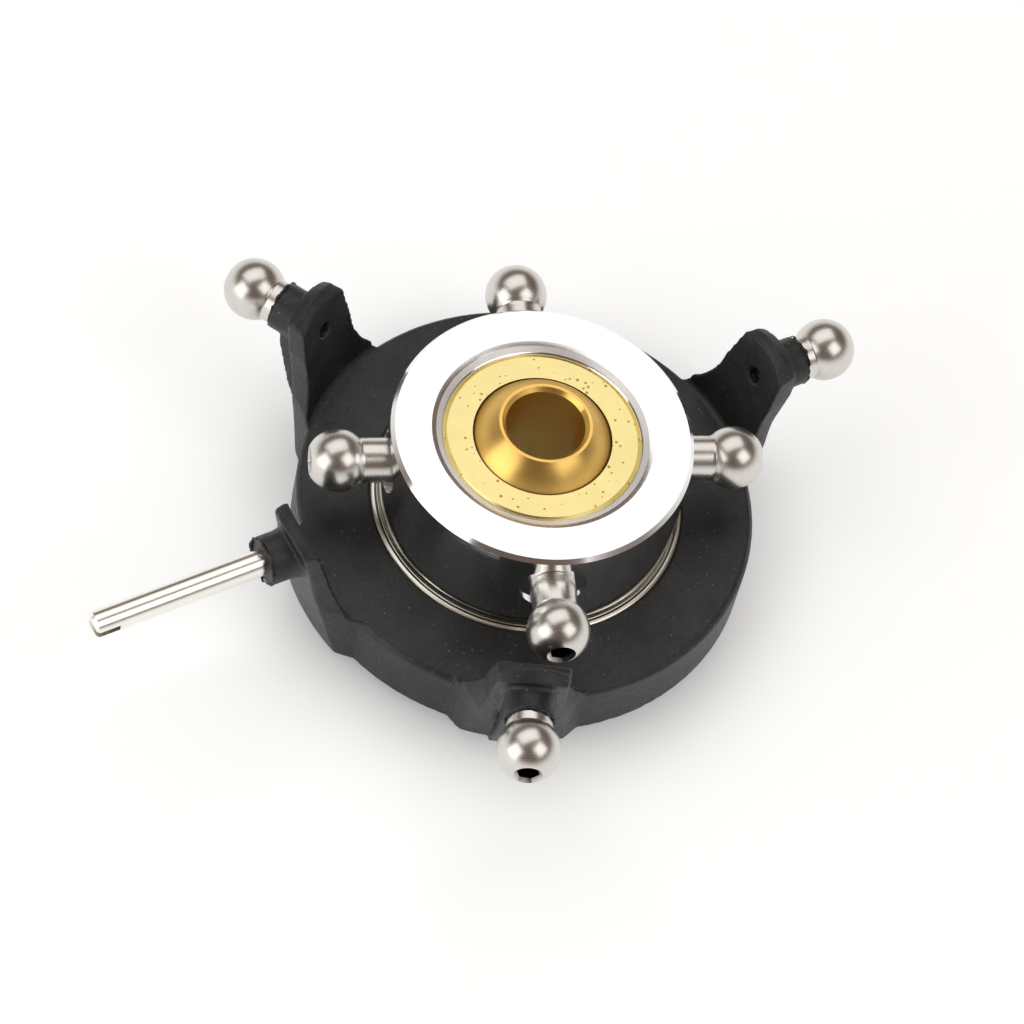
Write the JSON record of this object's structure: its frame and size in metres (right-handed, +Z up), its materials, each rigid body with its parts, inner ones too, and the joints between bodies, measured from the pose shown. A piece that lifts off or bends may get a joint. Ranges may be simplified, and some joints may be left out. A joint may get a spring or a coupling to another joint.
{
  "type": "helicopter swashplate",
  "caption": "Model-helicopter swashplate: a turning aluminium hub on a tilting brass mast ball, carried by a bearing in a black outer ring with link balls and an anti-rotation pin.",
  "frame": {"origin": "the pivot: the centre of the mast ball, on the mast's axis", "axes": "+Z up the mast; +X towards the outer link ball that stands opposite the anti-rotation pin"},
  "size_m": [0.0645, 0.049, 0.0164],
  "materials": {
    "black_nylon": "matte, faintly mottled, glass-filled",
    "stainless_ball": "satin polish with fine turning lines",
    "nickel_pin": "polished nickel",
    "bearing_steel": "ground steel",
    "shield_steel": "pressed steel, dull",
    "turned_aluminium": "turned and polished",
    "satin_brass": "satin, a few tarnish specks",
    "polished_brass": "polished",
    "spring_steel": "blued spring steel",
    "cage_nylon": "natural nylon",
    "white_acetal": "natural acetal"
  },
  "bodies": {
    "outer": {"swash_ring": "black_nylon", "outer_link_ball_1": "stainless_ball", "outer_link_ball_2": "stainless_ball", "outer_link_ball_3": "stainless_ball", "anti_rotation_pin": "nickel_pin", "bearing_outer_race": "bearing_steel", "bearing_shield_top": "shield_steel", "bearing_shield_bottom": "shield_steel"},
    "hub": {"hub": "turned_aluminium", "bearing_inner_race": "bearing_steel", "hub_link_ball_1": "stainless_ball", "hub_link_ball_2": "stainless_ball", "hub_link_ball_3": "stainless_ball", "hub_link_ball_4": "stainless_ball", "ball_retaining_ring": "satin_brass", "hub_circlip": "spring_steel"},
    "cage": {"bearing_cage": "cage_nylon", "bearing_balls": "bearing_steel"},
    "seat": {"ball_seat": "white_acetal"},
    "ball": {"centre_ball": "polished_brass"}
  },
  "joints": [
    {"name": "hub_spin", "type": "hinge", "parent": "outer", "child": "hub", "pos_m": [0, 0, 0], "axis": [0, 0, 1], "continuous": true},
    {"name": "cage_spin", "type": "hinge", "parent": "outer", "child": "cage", "pos_m": [0, 0, -0.0079], "axis": [0, 0, 1], "continuous": true},
    {"name": "tilt_direction", "type": "hinge", "parent": "hub", "child": "seat", "pos_m": [0, 0, 0], "axis": [0, 0, 1], "continuous": true},
    {"name": "ball_tilt", "type": "hinge", "parent": "seat", "child": "ball", "pos_m": [0, 0, 0], "axis": [1, 0, 0], "range_deg": [-12, 12]}
  ],
  "couplings": [
    {"joint": "cage_spin", "follows": "hub_spin", "ratio": 0.4388}
  ]
}
